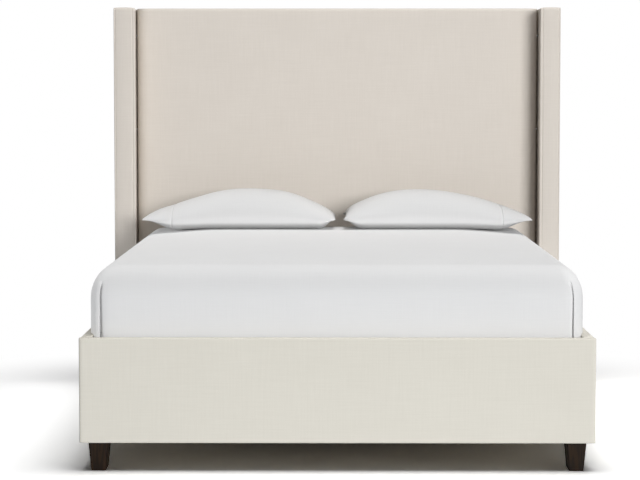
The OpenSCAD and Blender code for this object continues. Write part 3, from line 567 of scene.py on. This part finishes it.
def panel(finishes):
    """Cover and foam of the headboard panel: a padded front that rolls back at its sides and over
    the top, and is turned down behind."""
    half, front = WING_LOW.x + 1.5 * MM, PANEL_LOW.y
    back, top = PANEL_HIGH.y, PANEL_HIGH.z
    pad_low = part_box("headboard_foam")[0].z - 1.5 * MM
    turn_low = top - 50 * MM
    roll, back_roll, low_roll = 12 * MM, 10 * MM, 8 * MM
    side_roll, side_depth = 47 * MM, 42 * MM

    outline = [(LINING_Y, z, -1.0, 0.0) for z in np.linspace(UNDERSIDE, pad_low - 6 * MM, 10)]
    outline += [(y, pad_low, 0.0, -1.0) for y in np.linspace(LINING_Y, front + low_roll, 5)]
    outline += arc(front + low_roll, pad_low + low_roll, low_roll, 270, 180, 6)[1:]
    outline += [(front, z, -1.0, 0.0) for z in np.linspace(pad_low + low_roll, top - roll, 48)[1:]]
    outline += arc(front + roll, top - roll, roll, 180, 90, 10)[1:]
    outline += [(y, top, 0.0, 1.0) for y in np.linspace(front + roll, back - back_roll, 5)[1:]]
    outline += arc(back - back_roll, top - back_roll, back_roll, 90, 0, 5)[1:]
    outline += [(back, z, 1.0, 0.0) for z in np.linspace(top - back_roll, turn_low, 4)[1:]]
    outline = np.array(outline)
    from_side = (1, 2, 3, 4.5, 6, 8, 10, 13, 16, 20, 25, 30, 36, 43, 52, 64)
    near_side = [s * (half - d * MM) for s in (-1, 1) for d in from_side]
    xs = np.array(spaced(-half, half, 26 * MM, 0, near_side))
    height = np.clip((outline[:, 1] - pad_low) / (top - pad_low), 0, 1)
    forward = np.clip((front + 75 * MM - outline[:, 0]) / (75 * MM), 0, 1)
    padded = np.clip(height * 30, 0, 1) * forward

    def form(inset):
        rows = []
        for x in xs:
            d = half - abs(x)
            share = max(1 - d / side_roll, 0)
            level = math.sqrt(1 - share**2)
            turned = side_depth * (1 - level)
            steep = side_depth / side_roll * share / max(level, 1e-6)
            pulled = 3.0 * MM * math.exp(-d / (40 * MM))
            swell = 2.0 * MM * np.sin(height * math.pi) ** 0.7 * (1 - math.exp(-d / 0.12))
            droop = 0.3 * MM * math.exp(-d / (10 * MM)) * smooth_step(height * 12 - 11)
            y = outline[:, 0] - outline[:, 2] * inset + (turned + pulled - swell) * padded
            z = outline[:, 1] - outline[:, 3] * inset - droop
            drawn_in = inset * steep / math.hypot(steep, 1) * padded
            rows.append(np.column_stack([x - math.copysign(1, x) * drawn_in, y, z]))
        return np.concatenate(rows)

    count = len(outline)
    cover_faces = grid_faces(len(xs), count, flip=True)
    linen = finishes["headboard_linen_painted_shade"]
    cover = piece("headboard_cover_sewn", form(0.0), cover_faces, linen, "base", "linen")
    thicken(cover, COVER_T)
    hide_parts("headboard_cover")
    keep = np.where((outline[:, 1] > pad_low - 1 * MM) & (outline[:, 0] < back - 12 * MM))[0]
    chosen = np.concatenate([keep + i * count for i in range(len(xs))])
    foam_faces = grid_faces(len(xs), len(keep), flip=True)
    points = form(FOAM_GAP)[chosen]
    foam = piece("headboard_foam_layer", points, foam_faces, finishes["foam"], "base", "foam")
    thicken(foam, 14 * MM)
    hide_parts("headboard_foam")


def rails(finishes):
    """Covers and foam of the footboard and of the two side rails."""
    r = 3.5 * MM

    def slack(shape, way):
        """Fabric that is pulled tight by hand is never quite flat."""
        ripple = np.sin(shape[:, way] * 9.1 + shape[:, 2] * 4.3) * np.sin(shape[:, 2] * 21.0 + 0.7)
        inside = np.minimum(shape[:, 2] - UNDERSIDE, RAIL_TOP - shape[:, 2])
        return 0.25 * MM * (ripple - 1) * smooth_step(inside / (35 * MM))

    out, foot_end = RAIL_HIGH.x, RAIL_HIGH.x + 3 * MM
    near_ends = [s * (out - d * MM) for s in (-1, 1) for d in (9, 11, 15)]
    foot_grid, foot_faces = box_shell(
        spaced(-foot_end, foot_end, 22 * MM, r, near_ends),
        spaced(FOOT_LOW.y, FOOT_HIGH.y, 8 * MM, r),
        spaced(UNDERSIDE, RAIL_TOP, 18 * MM, r, [UNDERSIDE + d * MM for d in (9, 11)]),
    )
    rounder_ends = [(0, 1, 4 * MM, s, t) for s in (-1, 1) for t in (-1, 1)]
    rail_grid, rail_faces = box_shell(
        spaced(RAIL_LOW.x, out, 8 * MM, r),
        spaced(FOOT_HIGH.y, LINING_Y, 28 * MM),
        spaced(UNDERSIDE, RAIL_TOP, 18 * MM, r),
        leave_out=[(1, 0), (1, 1)],
    )

    def footboard(inset):
        low, high = (-foot_end, FOOT_LOW.y, UNDERSIDE), (foot_end, FOOT_HIGH.y, RAIL_TOP)
        shape, normal = rounded(foot_grid, low, high, r, inset, rounder_ends)
        shape = shape + normal * (slack(shape, 0) * np.clip(-normal[:, 1], 0, 1))[:, None]
        return shape, foot_faces

    def right_rail(inset):
        low, high = (RAIL_LOW.x, FOOT_HIGH.y - r, UNDERSIDE), (out, LINING_Y + r, RAIL_TOP)
        shape, normal = rounded(rail_grid, low, high, r, inset)
        shape = shape + normal * (slack(shape, 1) * np.clip(normal[:, 0], 0, 1))[:, None]
        return shape, rail_faces

    def left_rail(inset):
        return mirrored(*right_rail(inset))

    foam_points, foam_faces, count = [], [], 0
    for name, form in (
        ("footboard_cover", footboard),
        ("side_rail_cover_left", left_rail),
        ("side_rail_cover_right", right_rail),
    ):
        cover = piece(f"{name}_sewn", *form(0.0), finishes["rail_linen_painted_light"], "base", "linen")
        thicken(cover, COVER_T)
        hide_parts(name)
        shape, faces = form(FOAM_GAP)
        foam_points.append(shape)
        foam_faces += [[v + count for v in f] for f in faces]
        count += len(shape)
    foam_points = np.concatenate(foam_points)
    foam = piece("rail_foam_layer", foam_points, foam_faces, finishes["foam"], "base", "foam")
    thicken(foam, 4 * MM)
    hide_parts("rail_foam")


# Mattress and fitted sheet

# Corner radius in plan, width and height of the rounded upper edge, and rise to the middle
BED_R = 62 * MM
EDGE_W, EDGE_H, CROWN = 80 * MM, 105 * MM, 16 * MM
EDGE_TOP = BED_HIGH.z - CROWN
# How far each side spreads over its rail
OVER_LEFT, OVER_RIGHT = 10.5 * MM, 6.5 * MM
# Height at which the corner pleats close
PLEAT_TOP = 0.590
# From here to the head, the raised deck takes the sides between the rails, ever deeper
DIP_START, DIP_SLOPE = 0.84, 0.58

# Each corner's pleat: the angle at which it lies, and its folded section as how far along the edge
# and how far out each point lies, in millimetres. The left one is tucked under to the left and the
# right one to the right.
LEFT_PLEAT = (
    (-18, 0.3), (-15, 0.8), (-11, 2.2), (-8, 3.6), (-5, 4.7), (-2, 5.1), (1, 5.0), (4, 4.2),
    (6, 3.2), (6.9, 1.8), (6.2, 0.4), (4, -0.8), (1, -3), (-2, -6.5), (-4, -10), (-3.5, -12.2),
    (-1.2, -12), (2, -9.6), (5, -6.9), (8, -4.6), (11, -2.5), (14, -0.8), (17, 0.1),
)
RIGHT_PLEAT = (
    (-17, 0.3), (-13, 0.7), (-9, 1.3), (-6, 1.8), (-3.5, 1.9), (-1.5, 1.2), (-0.3, -0.3),
    (0.8, -2.4), (2.8, -5), (5.5, -7.8), (8.5, -9.6), (10.6, -9.5), (10.9, -7.6), (8.6, -5),
    (5.8, -2.4), (4.3, -0.2), (4.2, 1.3), (5.2, 2.3), (7.5, 2.5), (11, 1.7), (15, 0.6),
)
CORNERS = ((20.0, RIGHT_PLEAT), (160.0, LEFT_PLEAT), (235.3, LEFT_PLEAT), (293.2, RIGHT_PLEAT))


def ring_stations():
    """Places round the bed: ("corner", number, angle, pleat point or None) or ("side", number,
    share, None)."""
    stations = []
    for corner, (at, section) in enumerate(CORNERS):
        angles = np.linspace(90 * corner, 90 * corner + 90, 13)
        clear = math.degrees(20 * MM / BED_R)
        flat = np.linspace(section[0][0], section[-1][0], len(section))
        stations += [("corner", corner, a, None) for a in angles if a < at - clear]
        stations += [("corner", corner, at, (even, *spot)) for even, spot in zip(flat, section)]
        stations += [("corner", corner, a, None) for a in angles if a > at + clear]
        shares = np.linspace(0, 1, 42 + 12 * (corner % 2))[1:-1]
        stations += [("side", corner, s, None) for s in shares]
    return stations


def bed_ring(stations, inset, z, fold, hollow):
    """One ring of the bed's outline, drawn in by inset. Its pleats stand open by fold, and hollow
    sinks the mattress behind them."""
    half = BED_HIGH.x - inset
    y0, y1 = BED_LOW.y + inset, BED_HIGH.y - inset
    r = min(max(BED_R - inset / 2, 12 * MM), half)
    centres = [(half - r, y1 - r), (r - half, y1 - r), (r - half, y0 + r), (half - r, y0 + r)]
    points = []
    for kind, number, value, pleat in stations:
        centre = np.array(centres[number])
        if kind == "corner":
            a, reach = math.radians(value), r
            if pleat:
                even, along, out = pleat
                a += (even + (along - even) * min(fold * 1.6, 1)) * MM / BED_R
                reach += out * MM * fold - hollow * math.exp(-((even / 12) ** 2))
            spot = centre + reach * np.array([math.cos(a), math.sin(a)])
        else:
            a = math.radians(90 * number + 90)
            edge = r * np.array([math.cos(a), math.sin(a)])
            spot = centre + edge + (np.array(centres[(number + 1) % 4]) - centre) * value
        points.append((*spot, z))
    return points


def bed_profile(low, thin):
    """(inset, height) from the underside's hem up to the middle of the top."""
    edge_z = EDGE_TOP - EDGE_H
    rows = [(inset * MM, low) for inset in (140, 100, 60, 30, 14)]
    rows += [(7 * MM, low + 3 * MM), (3 * MM, low + 10 * MM), (2 * MM, low + 24 * MM)]
    rows += [(1 * MM, low + 45 * MM), (0, RAIL_TOP + 1 * MM)]
    rows += [(0, z) for z in np.linspace(RAIL_TOP + 6 * MM, edge_z, 13)]
    for a in np.linspace(0, math.pi / 2, 22)[1:]:
        rows.append((EDGE_W * (1 - math.cos(a)), edge_z + EDGE_H * math.sin(a)))
    rows += [(EDGE_W + d * MM, EDGE_TOP) for d in (10, 25, 45, 70, 100, 135, 175)]
    rows += [(inset, EDGE_TOP) for inset in np.linspace(300 * MM, BED_HIGH.x, 14)]
    drawn = []
    for inset, z in rows:
        under = thin if z < low + 2 * MM else -thin if inset > 40 * MM else 0.0
        drawn.append((min(inset + thin, BED_HIGH.x), z + under))
    return drawn


def bed_surface(thin, folds, hollow):
    """The bed drawn in by thin, its faces and the number of points in a ring."""
    stations = ring_stations()
    rings = []
    for inset, z in bed_profile(BED_LOW.z + 0.2 * MM, thin):
        below = PLEAT_TOP - z
        opening = smooth_step(below / (16 * MM)) * (0.5 + 0.7 * np.clip(below / 0.17, 0, 1))
        rings.append(bed_ring(stations, inset, z, folds * float(opening), hollow * float(opening)))
    faces = grid_faces(len(rings), len(stations), ring=True)
    return settled(np.concatenate(rings)), faces, len(stations)


def settled(points):
    """The middle of the bed is crowned and a little uneven, and above the rails its sides spread
    over them, but not where the raised deck takes their head end down between the rails."""
    x, y, z = points.T
    on_top = smooth_step((z - (EDGE_TOP - EDGE_H)) / EDGE_H)
    rise = CROWN * np.ones(len(x))
    for d in (BED_HIGH.x - np.abs(x), y - BED_LOW.y, BED_HIGH.y - y):
        rise *= smooth_step((d - 30 * MM) / (290 * MM))
    soft = 0.8 * MM * np.sin(x * 7.3 + y * 3.1) * np.sin(y * 6.1 - x * 2.2)
    soft = soft * smooth_step((PILLOW_LOW.y - y) / 0.25)
    spread = np.where(x < 0, OVER_LEFT, OVER_RIGHT)
    wide = np.abs(x) + spread * np.clip(np.abs(x) / BED_HIGH.x, 0, 1) ** 3
    held = np.maximum(np.minimum(wide, BED_HIGH.x), np.abs(x))
    dips = DIP_SLOPE * np.maximum(y - DIP_START, 0)
    over = smooth_step((z - RAIL_TOP - 0.5 * MM - dips) / (5 * MM + 0.3 * dips))
    x = np.sign(x) * (held + (wide - held) * over)
    return np.column_stack([x, y, z + on_top * (rise + soft * rise / CROWN)])


def bed(finishes):
    points, faces, _ = bed_surface(0.0, 1.0, 0.0)
    white, ticking = finishes["white_cotton"], finishes["mattress_ticking"]
    sheet = piece("fitted_sheet_stretched", points, faces, white, "deck", "white_cotton")
    thicken(sheet, 0.7 * MM)
    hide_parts("fitted_sheet")
    points, faces, count = bed_surface(1.8 * MM, 0.0, 18 * MM)
    faces = faces + [list(range(count))[::-1]]
    body = piece("mattress_body", points, faces, ticking, "deck", "mattress_ticking")
    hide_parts("mattress")


# Pillows

# Width of the open end's hem, and height of the seam at a pillow's edge
HEM = 114 * MM
SEAM = 36 * MM

# Height of each filled pillow along its length, from its open end at -1 to its closed end at 1,
# in millimetres, with the middle and half of its length across the bed and how far the closed
# end draws in between its corners
PILLOWS = {
    "left": dict(
        middle=-379 * MM, half=373 * MM, draw=1 * MM,
        crest=(
            (-1, 37), (-0.95, 51), (-0.88, 65), (-0.73, 83), (-0.59, 101), (-0.45, 117),
            (-0.25, 137), (-0.07, 147), (0.08, 149), (0.28, 146), (0.43, 140), (0.57, 127),
            (0.72, 105), (0.86, 80), (0.93, 65), (0.975, 51), (1, 38),
        ),
    ),
    "right": dict(
        middle=389 * MM, half=364 * MM, draw=13 * MM,
        crest=(
            (-1, 37), (-0.95, 49), (-0.87, 63), (-0.74, 81), (-0.6, 98), (-0.46, 113),
            (-0.3, 126), (-0.09, 139), (0.04, 144), (0.22, 146), (0.39, 142), (0.56, 131),
            (0.69, 117), (0.78, 104), (0.86, 92), (0.93, 79), (0.98, 62), (1, 46),
        ),
    ),
}


def eased(count):
    """Numbers from -1 to 1 that lie closer together near both ends."""
    t = np.linspace(-1, 1, count)
    return np.sin(t * math.pi / 2) * 0.6 + t * 0.4


def crest_height(crest, a):
    """The crest's height at a, on a smooth curve through the listed heights."""
    places, heights = np.array(crest, float).T
    slopes = np.gradient(heights, places)
    k = int(np.clip(np.searchsorted(places, a) - 1, 0, len(places) - 2))
    width = places[k + 1] - places[k]
    t = (a - places[k]) / width
    return MM * (
        (2 * t**3 - 3 * t**2 + 1) * heights[k] + (t**3 - 2 * t**2 + t) * slopes[k] * width
        + (3 * t**2 - 2 * t**3) * heights[k + 1] + (t**3 - t**2) * slopes[k + 1] * width
    )


def pillow_ring(shape, a, inset, mouth):
    """Once round a pillow at one place along it: over the top and back underneath."""
    across = eased(37)
    b = np.concatenate([across, across[::-1][1:-1]])
    is_up = np.arange(len(b)) < len(across)
    way = np.where(is_up, 1.0, -1.0)
    u = (a + 1) * shape["half"]
    resting = float(smooth_step(u / 0.135) * smooth_step((1 - a) * shape["half"] / 0.065))
    to_side = BED_HIGH.x - abs(abs(shape["middle"]) - shape["half"] * a)
    fall = 0.35 * CROWN * (1 - float(smooth_step((to_side - 30 * MM) / (290 * MM)))) * resting
    edge = SEAM - 8 * MM * resting - fall
    round_over = np.sqrt(1 - np.abs(b) ** 2.6)
    upper = edge + (crest_height(shape["crest"], a) - edge) * round_over
    lower = (edge + fall) * (1 - resting * np.minimum(round_over * 1.25, 1) ** 1.3) - fall
    thread = float(groove(u - HEM, 2.4 * MM, 2.6 * MM))
    open_by = mouth * (1 - b**4) / 2
    z = np.where(is_up, upper, lower) + way * (open_by + thread * (1 - b**6) - inset)
    depth = (PILLOW_HIGH.y - PILLOW_LOW.y) / 2 - 0.9 * inset
    closed = max(a, 0)
    draw = np.where(a > 0, shape["draw"], 4 * MM * np.sign(a))
    x = shape["half"] * a - draw * (1 - b * b) * abs(a) ** 5
    corner = 1 - 0.10 * closed**14 - 0.03 * max(-a, 0) ** 10
    y = depth * b * corner * (1 - 0.05 * (1 - a * a) * np.abs(b) ** 3)
    y = y + b * abs(b) * thread
    return np.column_stack([x, y, np.maximum(z, 0.1 * MM - fall)])


def pillow(side, finishes):
    """One pillow in a case with an open hem at its outer end."""
    shape = PILLOWS[side]
    beside_hem = (-6, -4, -2.4, -1.2, 0, 1.2, 2.4, 4, 6)
    hem_lines = [-1 + (HEM + d * MM) / shape["half"] for d in beside_hem]
    along = np.unique(np.concatenate([eased(66), hem_lines]))
    rings = [pillow_ring(shape, a, 0.0, 12 * MM * math.exp(-(a + 1) / 0.05)) for a in along]
    count = len(rings[0])
    # The cases take the darker cotton, painted shade that dims the pillows
    white, ticking = finishes["pillow_cotton_painted_shade"], finishes["mattress_ticking"]
    middle = np.array([shape["middle"], (PILLOW_LOW.y + PILLOW_HIGH.y) / 2, PILLOW_LOW.z])

    def placed(points, faces):
        # Rings run from the open end, which lies outwards on both sides of the bed
        if side == "right":
            points, faces = mirrored(points, faces)
        return points + middle, faces

    faces = grid_faces(len(rings), count, ring=True, flip=True)
    points, faces = placed(np.concatenate(rings), faces)
    case = piece(f"pillow_case_{side}", points, faces, white, "deck", "white_cotton")
    thicken(case, 0.6 * MM)
    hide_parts(f"pillow_{side}")
    stuffed = []
    for a in np.linspace(-0.8, 0.985, 40):
        ring = pillow_ring(shape, a, 2.2 * MM, 0.0)
        middle_of_ring = ring.mean(axis=0)
        end = math.sqrt(min((a + 0.8) / 0.12, 1.0))
        full = np.array([1, 0.985, 0.35 + 0.65 * end])
        stuffed.append(middle_of_ring + (ring - middle_of_ring) * full)
    faces = grid_faces(len(stuffed), count, ring=True, flip=True)
    last = (len(stuffed) - 1) * count
    faces += [list(range(count)), [last + i for i in range(count)][::-1]]
    points, faces = placed(np.concatenate(stuffed), faces)
    insert = piece(f"pillow_insert_{side}", points, faces, ticking, "deck", "mattress_ticking")
    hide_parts(f"pillow_{side}")


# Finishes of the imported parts


def dress_frame(finishes):
    """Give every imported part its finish; timber takes the one whose grain runs along the part."""
    slots = {entry["node"]: entry["material_slot"] for entry in frame["record"]["subparts"]}
    across = ("footboard_board", "cross_beams", "foot_rest_cleat", "headboard_frame")
    upright = ("wing_board_left", "wing_board_right", "corner_blocks")
    grain = {**dict.fromkeys(across, "across"), **dict.fromkeys(upright, "up")}
    for name, thing in frame["nodes"].items():
        slot = slots.get(name, "timber")
        thing.data.materials.clear()
        named = {"timber": f"timber_{grain.get(name, 'along')}", "linen": "rail_linen_painted_light"}
        thing.data.materials.append(finishes[named.get(slot, slot)])


# Floor and light


def seen_directly(tree):
    """1 for what the camera sees, straight, mirrored or through glass, and 0 otherwise."""
    path = add(tree, "ShaderNodeLightPath")
    rays = [path.outputs[f"Is {kind} Ray"] for kind in ("Camera", "Glossy", "Transmission")]
    return calc(tree, "MAXIMUM", rays[0], calc(tree, "MAXIMUM", rays[1], rays[2]))


def make_floor():
    """A white floor that keeps the bed's shadow and is plain white away from the bed."""
    reach, white_from, white_to = 30.0, 1.45, 2.3
    shaded, shown = (0.76, 0.80, 0.86), (2.3, 2.3, 2.3)
    corners = [(-reach, -reach, 0), (reach, -reach, 0), (reach, reach, 0), (-reach, reach, 0)]
    mesh = bpy.data.meshes.new("floor")
    mesh.from_pydata(corners, [], [(0, 1, 2, 3)])
    floor = bpy.data.objects.new("floor", mesh)
    bpy.context.scene.collection.objects.link(floor)
    material = bpy.data.materials.new("floor_white")
    material.use_nodes = True
    tree = material.node_tree
    shader = tree.nodes["Principled BSDF"]
    shader.inputs["Roughness"].default_value = 0.9
    shader.inputs["Specular IOR Level"].default_value = 0.0
    seen = seen_directly(tree)
    tree.links.new(mixed(tree, seen, shaded, shown), shader.inputs["Base Color"])
    place = add(tree, "ShaderNodeTexCoord")
    distance = add(tree, "ShaderNodeVectorMath", operation="LENGTH")
    tree.links.new(place.outputs["Object"], distance.inputs[0])
    far = mapped(tree, distance.outputs["Value"], white_from, white_to, kind="SMOOTHSTEP")
    glow = add(tree, "ShaderNodeEmission")
    blend = add(tree, "ShaderNodeMixShader")
    tree.links.new(calc(tree, "MULTIPLY", far, seen), blend.inputs[0])
    tree.links.new(shader.outputs[0], blend.inputs[1])
    tree.links.new(glow.outputs[0], blend.inputs[2])
    tree.links.new(blend.outputs[0], tree.nodes["Material Output"].inputs["Surface"])
    mesh.materials.append(material)


def make_world():
    world = bpy.data.worlds.new("studio")
    bpy.context.scene.world = world
    world.use_nodes = True
    tree = world.node_tree
    background = tree.nodes["Background"]
    tree.links.new(between(tree, seen_directly(tree), 0.03, 1.0), background.inputs["Strength"])
    background.inputs["Color"].default_value = (1, 1, 1, 1)


def softbox(name, target, turn, tilt, distance, size, watts, on=(), not_on=(), through=()):
    """A lamp aimed at target, with its width and height. turn is degrees to the right of the bed's
    foot and tilt is degrees upwards. on names the only things that it lights, not_on the things
    that it leaves out, and through the things that throw no shadow in its light."""
    a, b = math.radians(turn), math.radians(tilt)
    away = Vector((math.sin(a) * math.cos(b), -math.cos(a) * math.cos(b), math.sin(b)))
    lamp = bpy.data.lights.new(name, "AREA")
    lamp.shape, lamp.size, lamp.size_y = "RECTANGLE", *size
    lamp.energy = watts
    thing = bpy.data.objects.new(name, lamp)
    thing.location = Vector(target) + away * distance
    thing.rotation_euler = away.to_track_quat("Z", "Y").to_euler()
    thing.visible_camera = False
    bpy.context.scene.collection.objects.link(thing)
    linking = thing.light_linking
    for use, names, state in (
        ("receiver", on, "INCLUDE"),
        ("receiver", not_on, "EXCLUDE"),
        ("blocker", through, "EXCLUDE"),
    ):
        if names:
            chosen = bpy.data.collections.new(f"{name}_{use}s")
            for one in names:
                chosen.objects.link(bpy.data.objects[one])
            setattr(linking, use + "_collection", chosen)
            for one in chosen.collection_objects:
                one.light_linking.link_state = state


set_camera()
FINISHES = make_finishes()
dress_frame(FINISHES)
panel(FINISHES)
for one_side in ("left", "right"):
    wing(one_side, FINISHES)
    pillow(one_side, FINISHES)
rails(FINISHES)
bed(FINISHES)
make_floor()
make_world()
BEDDING = ("fitted_sheet_stretched", "pillow_case_left", "pillow_case_right")
softbox("key", (0, 0.3, 0.8), 24.5, 11, 25.0, (9.6, 7.9), 4930, not_on=("floor",))
softbox("high", (0, -0.4, 0.6), 60, 84, 6.0, (4.6, 4.6), 225, not_on=BEDDING, through=BEDDING)
softbox("bed_top", (0, 0, 0.6), 160, 68, 20.0, (8.0, 7.0), 2350, on=BEDDING)
softbox("bed_left", (-0.8, 0, 0.5), -93, 12, 8.0, (2.0, 2.0), 360, on=BEDDING)
softbox("bed_right", (0.8, 0, 0.5), 93, 12, 8.0, (2.0, 2.0), 45, on=BEDDING)
softbox("behind", (0, 1, 0.8), 170, 20, 9.0, (3.0, 2.0), 420, not_on=("floor", *BEDDING))
bpy.context.scene.view_settings.view_transform = "Standard"
